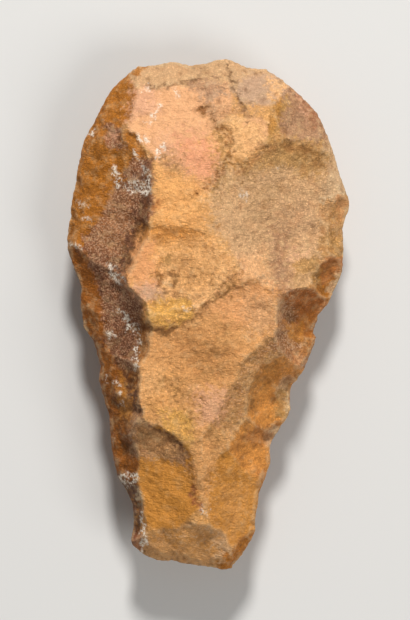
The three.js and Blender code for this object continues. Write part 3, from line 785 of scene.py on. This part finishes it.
FRONT_STREAKS = [
    # Painted shade: a brown band under the same ledge, where its wall turns from the light.
    ("umber", 0.3, 3.5, 2.5, (12, 49), (20, 58), (26.5, 60), (35.5, 57.4), (42, 52)),
    # Painted shade: the dark along the plum's right wall, which faces away from the light, over the
    # plum patina.
    ("grape", 0.75, 4, 2.5, (-21.5, 53), (-21, 38), (-25, 30), (-28, 23), (-29.5, 16)),
    ("rust", 0.8, 2, 2, (-20, 36), (-17, 38.5)),
    # Painted shadow: dark lines under steps and along creases, at the lobe's foot, the belly's
    # crease, the tip strip, the tip's ridge and the plateau's left border.
    ("shade", 0.6, 0.8, 0.9, (-22, -2), (-20, -5.4), (-15, -5.6), (-11, -3.5), (-5, -2)),
    ("shade", 0.35, 1.6, 2, (-4, -0.5), (1, 5), (6, 8.5)),
    ("shade", 0.25, 0.8, 1, (8, 11), (14, 12), (22, 12.6)),
    ("shade", 0.25, 0.8, 0.9, (1, -13.2), (5, -13.8), (9.5, -12)),
    ("shade", 0.65, 0.7, 0.7, (-22, 79.8), (-16, 80), (-10, 80.9), (-3, 82.9)),
    ("shade", 0.7, 0.6, 0.5, (6.6, 89), (7.3, 86), (9.2, 80), (11.9, 73.5), (13.8, 68)),
    ("shade", 0.3, 0.9, 1, (-26, 80), (-26.5, 72), (-28.5, 66)),
    # Painted shade in the jagged cleft across the crown, with some brown stain.
    ("umber", 0.75, 1.3, 1.0, (-3, 73), (-1, 71), (1, 69.5), (3.5, 65.5), (8, 64)),
    ("umber", 0.7, 1.2, 1.0, (3.5, 65), (7.3, 61.7), (7.9, 56.5), (5, 50.5), (1.4, 46.5), (-4, 42)),
    ("umber", 0.35, 1.2, 1.2, (7.9, 56.5), (12, 53), (16, 55)),
    ("umber", 0.5, 1.2, 1.2, (-17.5, 14.5), (-17.2, 10), (-15, 7.2), (-11.5, 8.2), (-11, 12.5),
     (-13.5, 15)),
    # Painted shade: the "shade" rows from here to the lobe's last one are shadow round the ring
    # hollow and in small pits.
    ("shade", 0.45, 0.9, 0.9, (-17.2, 13), (-16.8, 9.5), (-14.5, 7.6)),
    ("shade", 0.45, 0.9, 0.9, (-11.5, 9), (-11.2, 12.5), (-13, 14.6)),
    ("shade", 0.4, 0.7, 0.7, (-18, 16.5), (-14.5, 18.5), (-13.5, 21)),
    ("shade", 0.35, 0.7, 0.7, (-10.5, 14), (-9.5, 17.5)),
    *(("shade", strength, 1.1, 0.5, place) for strength, place in (
        (0.7, (-7.3, 16.4)), (0.7, (-4.9, 12.8)), (0.6, (-1.6, 14.6)), (0.7, (0.6, 11.2)),
        (0.6, (2.4, 14.4)), (0.6, (-2.6, 8.2)), (0.6, (-13.6, 17.4)))),
    ("bone", 0.6, 1.6, 1.3, (-14.8, 11.6), (-13.4, 11)),
    ("shade", 0.3, 1, 1.2, (-11, 7), (-6, 5), (-2, 6.5)),
    ("umber", 0.35, 1.5, 1.5, (-9, 20), (-6, 15), (-7, 10)),
    ("grape", 0.8, 1.5, 1.3, (-37, -8), (-31, -17), (-28, -23), (-24.5, -32), (-20.5, -38.5)),
    ("grape", 0.8, 1.0, 1.0, (-20.5, -38.5), (-14, -41.5), (-9, -46.5)),
    ("grape", 0.6, 1.4, 1.4, (-45, 22), (-41, 19), (-38.5, 12), (-36, 5)),
    # Painted shadow in the grooves of the left flank, along the spur's left side (the brick row, a
    # reddish shadow line) and under the ledge near the butt's shoulder.
    ("shade", 0.4, 1.0, 1.2, (-34, -27), (-31, -35), (-28, -42)),
    ("shade", 0.4, 0.9, 1.1, (-33, -35), (-30, -42), (-28.5, -54)),
    ("brick", 0.8, 1.6, 1.4, (-5.5, -60), (-5, -64), (-2.5, -68)),
    ("shade", 0.3, 0.9, 1, (1, -55), (-1.5, -58), (-2, -61)),
    ("shade", 0.25, 1.0, 1.2, (12, -42), (18, -40.5), (26, -38)),
    ("blush", 0.7, 0.7, 0.7, (31, 79), (33, 74), (34.5, 68)),
    ("brick", 0.5, 1.6, 1.6, (33, 78), (38.5, 70)),
    # Painted highlight: a pale line where the ridge at the right edge faces the light.
    ("bone", 0.8, 1.4, 1.2, (40, 40.3), (44, 41.6), (48.3, 43.6)),
    ("bone", 0.6, 1.0, 1.0, (23.5, -38.5), (22.6, -41), (22.8, -44)),
    ("bone", 0.8, 0.9, 0.8, (-25.5, -60), (-24, -63), (-23.4, -68)),
    ("rust", 0.6, 3, 3, (19, -58), (18.5, -56)),
    ("mauve", 0.5, 3, 3, (-15.5, 55), (-11, 53)),
    ("mauve", 0.6, 3.5, 3, (8.2, 13.2)),
    ("lilac", 0.7, 4, 3, (-22, 8), (-17, 6.5)),
    ("rust", 0.5, 1, 1, (-15.5, 13), (-16.3, 10.5)),
    ("bronze", 0.7, 2.2, 2, (-15, 20), (-13, 18)),
]

# Speckled dark stains, and places where a blow has crushed the stone white: strength, width,
# softness and places.
FRONT_SPECKS = [
    (1.0, 3.2, 2.6, (-1, 71.5), (1, 69.5), (3.5, 65.5), (8, 65)),
    (1.0, 2.8, 2.4, (3.5, 65), (7, 57.5), (6, 50.5), (2, 44)),
    (0.8, 2.5, 2, (17, 60), (20, 61), (22, 62)),
    (0.9, 5, 4, (5, 53), (14, 49)),
    (0.7, 4, 4, (8, 48), (4, 42)),
    (0.5, 5, 4, (-6, 39), (2, 37)),
    (0.7, 3.5, 3, (-16, 54), (-11, 51)),
    (0.8, 3.5, 3, (-17, 13), (-16, 9), (-12, 8), (-12, 12)),
    (0.45, 4, 4, (-10, 22), (-6, 14), (-8, 6)),
    (0.9, 3, 3, (0, 5), (4, 6), (7, 8.5)),
    (0.3, 10, 8, (-8, 18), (4, 14)),
    (0.75, 7, 5, (-15, -25), (-8, -30), (-6, -35)),
    (0.7, 5, 4, (-21, -31), (-17, -38)),
    (0.7, 4, 3, (-5, -42), (4, -40)),
    (0.6, 4, 3, (4, -42), (2, -50)),
    (0.5, 8, 6, (14, 62), (6, 54)),
    (0.4, 12, 10, (30, 56), (20, 40)),
    (0.5, 8, 6, (22, -14), (10, -36)),
    (0.5, 8, 8, (4, -8), (0, -22)),
    (0.5, 6, 5, (30, 15), (38, 17)),
]
FRONT_BRUISES = [
    (0.3, 3, 3, (-25.5, 45.5), (-22, 44.5)),
    (1.0, 0.7, 0.6, (-21.3, 42.5), (-24, 47)),
    (1.0, 0.6, 0.6, (-21.8, 43), (-26, 46)),
    (1.0, 0.6, 0.6, (-22.3, 42.6), (-27, 44.4)),
    (1.0, 0.9, 0.8, (-20.9, 47.5), (-21.3, 42)),
    (0.8, 0.8, 0.6, (-28.5, 46), (-27.5, 44.5)),
    (1.0, 1.5, 1.2, (-32.4, 51), (-31.6, 45.5)),
    (0.9, 1.2, 1, (-19, 55.5), (-15.5, 58.5)),
    (0.7, 0.6, 0.5, (-25.3, 57), (-23, 53), (-21.2, 48)),
    (1.0, 1.3, 1, (-24.3, 62.6), (-23.5, 61), (-21, 60.5)),
    (0.8, 0.9, 0.8, (-17, 73), (-19, 69)),
    (0.6, 1.2, 1, (-21, 67.3)),
    (0.6, 1.2, 1, (-22, 79), (-20.5, 78.6)),
    (0.5, 1.2, 1, (-11.5, 78.5), (-11, 77)),
    (1.0, 1.3, 1, (-48.3, 24.3), (-45, 23.8)),
    (0.9, 0.9, 0.8, (-35, 18.3), (-33, 16.6)),
    (0.9, 1.6, 1.4, (-33.5, 15), (-31, 12)),
    (1.0, 1.2, 1, (-31.5, 1), (-29.5, 0.6), (-28, -2), (-27.6, -5)),
    (0.9, 1.2, 1, (-25.8, -4)),
    (0.8, 1.2, 1, (-24.4, -6), (-24.3, -9)),
    (1.0, 1.1, 1, (-24.6, -12), (-25.4, -19)),
    (1.0, 1.4, 1.2, (-34.6, -6.8)),
    (0.8, 1.3, 1.2, (-31, -28)),
    (0.7, 1.1, 1, (-30.5, -31.5)),
    (0.7, 1.3, 1.2, (-32, -24)),
    (0.6, 1.0, 1, (-35.5, -22.6)),
    (1.0, 0.9, 0.7, (-30.8, -56.8), (-28.8, -56), (-26, -56.5), (-25.6, -58.5), (-27, -60),
     (-30.5, -58), (-30.8, -56.8)),
    (1.0, 0.8, 0.6, (-23, -70), (-23, -79), (-22.6, -84)),
    (1.0, 1.3, 1, (-2, -67.5), (-1, -68.8)),
    (0.9, 1.6, 1.4, (-42, 63.3), (-41, 64)),
    (0.5, 1.2, 1, (12.6, 42), (13, 41)),
    (0.5, 1.2, 1, (24, 52)),
    (0.5, 1, 1, (-45, 39), (-42, 38.7)),
    (0.5, 1, 1, (-44, 33.8), (-42, 33.6)),
    (0.4, 1, 1, (-8, 2.5), (-6, 2.5)),
]
BACK_PATCHES = [
    ("honey", 0.7, 8, (-14, 40), (6, 44), (16, 26), (4, 8), (-14, 16)),
    ("heather", 0.8, 6, (22, 30), (36, 26), (40, 6), (30, -6), (22, 4)),
    ("plum", 0.8, 5, (24, 26), (33, 24), (36, 6), (29, 0), (25, 8)),
    ("mauve", 0.7, 7, (-30, 32), (-18, 26), (-18, 2), (-28, -8), (-36, 4)),
    ("plum", 0.7, 5, (-29, 22), (-22, 18), (-22, 4), (-28, 0)),
    ("mauve", 0.7, 6, (12, -34), (24, -32), (22, -50), (14, -54)),
    ("lilac", 0.6, 6, (4, 88), (20, 84), (20, 76), (6, 76)),
    ("copper", 0.6, 8, (-30, 70), (-14, 60), (-22, 48), (-36, 56)),
    ("tan", 0.6, 8, (-16, -72), (2, -70), (2, -88), (-18, -86)),
    ("blush", 0.45, 8, (-6, 74), (12, 72), (10, 56), (-8, 56)),
    ("straw", 0.7, 4, (-8, 8), (8, 6), (6, -8), (-8, -8)),
    ("rust", 0.6, 4, (-12, -40), (4, -38), (2, -52), (-12, -54)),
    ("sand", 0.7, 5, (-40, 60), (-24, 62), (-26, 44), (-42, 42)),
    ("bronze", 0.6, 5, (26, 66), (38, 58), (40, 42), (26, 46)),
]
BACK_STREAKS = [
    # Painted shadow under the back's two long ledges.
    ("shade", 0.6, 1.0, 1.0, (-26, 30), (-12, 24), (2, 26), (14, 20), (26, 24)),
    ("shade", 0.5, 0.9, 0.9, (-18, -14), (-6, -20), (6, -16), (16, -22)),
    ("brick", 0.6, 4, 3, (-30, -30), (-24, -44)),
    ("grape", 0.6, 3, 3, (24, 28), (23, 6)),
]
BACK_SPECKS = [
    (0.8, 12, 9, (-6, 30), (6, 12)),
    (0.7, 8, 6, (-4, -24), (4, -40)),
    (0.7, 8, 7, (10, 64), (-10, 58)),
    (0.5, 12, 9, (-30, 52), (-20, 36)),
]
BACK_BRUISES = [
    (0.9, 2, 1.6, (32, 20), (29, 14)),
    (0.9, 1.4, 1.2, (26, -14), (24, -20)),
    (0.8, 2.4, 2, (-34, 12), (-32, 6)),
    (0.8, 1.4, 1.2, (14, -60), (12, -66)),
    (0.7, 1.6, 1.4, (-16, 72), (-12, 70)),
]


def finish_map(rows, owner, blend, patches, streaks):
    """The stone's colour and strength of grain: each scar's own finish, blended over the ridges by
    so many millimetres, then stained, and painted with shade and highlight, by the patches and
    streaks."""
    values = {
        name: np.array([*linear(colour), grain]) for name, (colour, grain) in FINISHES.items()
    }
    palette = np.array([values[row[9]] for row in rows] + [values["cobble"]])
    field = palette[owner]
    field = np.stack([blurred(field[..., i], blend) for i in range(4)], -1)
    for shape, marks in ((patch, patches), (streak, streaks)):
        for finish, strength, *mark in marks:
            area, share = shape(*mark)
            share = strength * share[..., None]
            field[area] = field[area] * (1 - share) + values[finish] * share
    return field


front_finish = finish_map(FRONT_ROWS, front_owner, 0.4, FRONT_PATCHES, FRONT_STREAKS)
back_finish = finish_map(BACK_ROWS, back_owner, 1.1, BACK_PATCHES, BACK_STREAKS)
front_ridge = front_height - blurred(front_height, 0.9)
back_ridge = back_height - blurred(back_height, 0.9)


def on_stone(front_field, back_field):
    """A front field and a back field read at the stone's points, each on its own face."""
    x, y, z = points.T
    front = sample(front_field, x, y)
    back = sample(back_field, x, y)
    share = smooth_step(-0.4, 0.4, z)
    if front.ndim == 2:
        share = share[:, None]
    return front * share + back * (1 - share)


def add_attribute(name, values):
    """Keeps a number or a colour at each point of the stone, for its material."""
    if values.ndim == 1:
        stone.data.attributes.new(name, "FLOAT", "POINT").data.foreach_set("value", values)
        return
    colours = np.concatenate([values, np.ones((len(values), 1))], 1)
    kept = stone.data.attributes.new(name, "FLOAT_COLOR", "POINT")
    kept.data.foreach_set("color", colours.ravel())


add_attribute("tone", on_stone(front_finish[..., :3], back_finish[..., :3]))
add_attribute("grain", on_stone(front_finish[..., 3], back_finish[..., 3]))
# Paler on raised ridges: partly rubbed stone, partly painted highlight where ridges catch the
# light.
add_attribute("wear", on_stone(
    smooth_step(0.1, 0.4, front_ridge), smooth_step(0.1, 0.4, back_ridge)))
# Darker in creases and hollows: partly dirt, partly painted shade.
add_attribute("dirt_and_crease_shade", on_stone(
    smooth_step(0.03, 0.3, -front_ridge), smooth_step(0.03, 0.3, -back_ridge)))
# A pale line along the rim between the faces: partly rubbed edge, partly painted highlight of the
# edge catching the light.
add_attribute("rim_wear_and_highlight", 1 - smooth_step(0.1, 0.8, np.abs(points[:, 2])))
# Light specks on the grainiest finishes: partly light grains, partly painted glints of grains
# catching the light.
add_attribute("glints", on_stone(
    smooth_step(0.8, 1.0, front_finish[..., 3]), smooth_step(0.8, 1.0, back_finish[..., 3])))
add_attribute("specks", on_stone(gathered(FRONT_SPECKS), gathered(BACK_SPECKS)))
add_attribute("bruise", on_stone(gathered(FRONT_BRUISES), gathered(BACK_BRUISES)))


def add_node(tree, kind, inputs=(), **settings):
    """Adds a shader node, sets its settings, and links or sets its inputs."""
    node = tree.nodes.new("ShaderNode" + kind)
    for name, value in settings.items():
        setattr(node, name, value)
    for key, value in dict(inputs).items():
        if isinstance(value, bpy.types.NodeSocket):
            tree.links.new(value, node.inputs[key])
        else:
            node.inputs[key].default_value = value
    return node


def quartzite():
    """Quartzite, flaked by blows and long weathered. Its sand grains are welded together and break
    through, so it is matt, with a fine sandy sparkle that is painted into its colour as light
    flecks and glints. Iron stains it in patches, dirt and painted shade lie in its creases, its
    ridges and rim are rubbed pale and carry a painted highlight, and hard knocks have crushed it
    white."""
    material = bpy.data.materials.new("weathered_quartzite")
    material.use_nodes = True
    tree = material.node_tree
    shader = tree.nodes["Principled BSDF"]
    place = add_node(tree, "TexCoord").outputs["Object"]
    kept = {
        name: add_node(tree, "Attribute", attribute_name=name).outputs["Fac"]
        for name in ("grain", "wear", "dirt_and_crease_shade", "rim_wear_and_highlight", "glints", "specks", "bruise")
    }
    colour = add_node(tree, "Attribute", attribute_name="tone").outputs["Color"]

    # Uneven colour: size of the spots in mm, their detail, the value of the noise that counts as
    # lowest, and the darkest and the lightest share of the tone. The real grains are 0.2 to 0.4 mm,
    # too fine to show, so they are drawn about twice as coarse. The finest row lifts the tone up to
    # 1.6 times in small flecks: partly lighter grains, partly painted sparkle of grains catching
    #                            the light.
    for size, detail, low, dark, light in (
        (0.6, 1, 0.50, 0.85, 1.6), (1.3, 2, 0.25, 0.78, 1.20), (2.8, 3, 0.25, 0.9, 1.1),
        (9, 4, 0.25, 0.88, 1.12),
    ):
        spots = add_node(tree, "TexNoise", {
            "Vector": place, "Scale": 1 / (size * MM), "Detail": detail,
        })
        shade = add_node(tree, "MapRange", {
            "Value": spots.outputs["Fac"], "From Min": low, "From Max": 0.75,
            "To Min": dark, "To Max": light,
        })
        colour = add_node(tree, "Mix", {0: kept["grain"], 6: colour, 7: shade.outputs["Result"]},
                          data_type="RGBA", blend_type="MULTIPLY").outputs[2]

    # What lies over the tone: where, size of its spots in mm, from which to which value of the
    # noise it sets in, its greatest strength and its colour.
    for name, size, low, high, most, hex_colour in (
        # rubbed pale ridges, partly painted highlight
        ("wear", 2.5, 0.35, 0.60, 0.3, "#dcbc90"),
        # dirt and painted shade in creases
        ("dirt_and_crease_shade", 2.0, 0.30, 0.55, 0.45, "#5a3a1a"),
        # rubbed rim, partly painted highlight
        ("rim_wear_and_highlight", 3.5, 0.40, 0.60, 0.5, "#c9b08a"),
        ("grain", 4.0, 0.50, 0.68, 0.28, "#a8642f"),
        ("grain", 3.0, 0.52, 0.70, 0.30, "#efc58e"),
        # partly light grains, partly painted glints
        ("glints", 0.65, 0.51, 0.59, 0.8, "#c79a76"),
        ("specks", 2.4, 0.42, 0.62, 0.5, "#94703a"),
        ("specks", 1.4, 0.50, 0.62, 0.6, "#704c22"),
        ("bruise", 0.8, 0.42, 0.49, 0.95, "#fff1dc"),
    ):
        spots = add_node(tree, "TexNoise", {"Vector": place, "Scale": 1 / (size * MM), "Detail": 3})
        found = add_node(tree, "MapRange", {
            "Value": spots.outputs["Fac"], "From Min": low, "From Max": high, "To Max": most,
        })
        share = add_node(tree, "Math", {0: kept[name], 1: found.outputs["Result"]},
                         operation="MULTIPLY").outputs[0]
        colour = add_node(tree, "Mix", {0: share, 6: colour, 7: (*linear(hex_colour), 1)},
                          data_type="RGBA").outputs[2]
    tree.links.new(colour, shader.inputs["Base Color"])

    # The grain's relief is too low to be mesh. It is drawn about three times as coarse as the real
    # grains, and a little longer across the stone, as its bedding is.
    bedded = add_node(tree, "Mapping", {"Vector": place, "Scale": (0.55, 1, 1)}).outputs["Vector"]
    grains = add_node(tree, "TexNoise", {
        "Vector": bedded, "Scale": 1 / (0.9 * MM), "Detail": 3, "Roughness": 0.6,
        "Distortion": 0.6,
    }).outputs["Fac"]
    sheen = add_node(tree, "MapRange", {"Value": grains, "From Min": 0.3, "From Max": 0.7,
                                        "To Min": 0.78, "To Max": 0.48})
    tree.links.new(sheen.outputs["Result"], shader.inputs["Roughness"])
    bump = add_node(tree, "Bump", {"Height": grains, "Distance": 0.75 * MM, "Strength": 1.0})
    tree.links.new(bump.outputs["Normal"], shader.inputs["Normal"])
    shader.inputs["IOR"].default_value = 1.54
    shader.inputs["Specular IOR Level"].default_value = 0.16
    return material


stone.data.materials.clear()
stone.data.materials.append(quartzite())
for polygon in stone.data.polygons:
    polygon.use_smooth = True
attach(stone, "root")
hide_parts("hand_axe")


def studio():
    """A pale floor, a soft key light from the top of the picture, a weaker fill and a dim white
    world.
    """
    bm = bmesh.new()
    bmesh.ops.create_grid(bm, x_segments=1, y_segments=1, size=3)
    mesh = bpy.data.meshes.new("studio_floor")
    bm.to_mesh(mesh)
    bm.free()
    floor = bpy.data.objects.new("studio_floor", mesh)
    bpy.context.scene.collection.objects.link(floor)
    # Uncoated studio paper: one even pale tone and no gloss.
    paper = bpy.data.materials.new("matt_pale_paper")
    paper.use_nodes = True
    shader = paper.node_tree.nodes["Principled BSDF"]
    shader.inputs["Base Color"].default_value = (*linear("#d9d7d3"), 1)
    shader.inputs["Roughness"].default_value = 0.9
    mesh.materials.append(paper)

    # Azimuth and elevation in degrees, distance and diameter in metres, and power in watts.
    lights = {
        "key": (88, 42, 2.2, 0.4, 46.5),
        "fill": (325, 45, 2.2, 1.2, 18.0),
    }
    for name, (azimuth, elevation, distance, size, power) in lights.items():
        lamp = bpy.data.lights.new(name, "AREA")
        lamp.shape = "DISK"
        lamp.size = size
        lamp.energy = power
        light = bpy.data.objects.new(name, lamp)
        a, e = math.radians(azimuth), math.radians(elevation)
        direction = Vector((math.cos(e) * math.cos(a), math.cos(e) * math.sin(a), math.sin(e)))
        light.location = direction * distance
        light.rotation_euler = direction.to_track_quat("Z", "Y").to_euler()
        bpy.context.scene.collection.objects.link(light)
    world = bpy.data.worlds.new("soft_room")
    world.use_nodes = True
    world.node_tree.nodes["Background"].inputs["Color"].default_value = (1, 1, 1, 1)
    world.node_tree.nodes["Background"].inputs["Strength"].default_value = 0.22
    bpy.context.scene.world = world


def camera():
    """Straight above the stone, with the photograph's framing and plain, unfiltered tones."""
    view_height, distance = 218.4 * MM, 1.3
    aim_x, aim_y = -1.23 * MM, 1.58 * MM
    data = bpy.data.cameras.new("camera")
    data.sensor_fit = "VERTICAL"
    data.sensor_height = 24
    data.lens = data.sensor_height * distance / view_height
    bpy.context.scene.view_settings.view_transform = "Standard"
    eye = bpy.data.objects.new("camera", data)
    eye.location = (aim_x, aim_y, EDGE_HEIGHT * MM + distance)
    bpy.context.scene.collection.objects.link(eye)
    bpy.context.scene.camera = eye


camera()
studio()
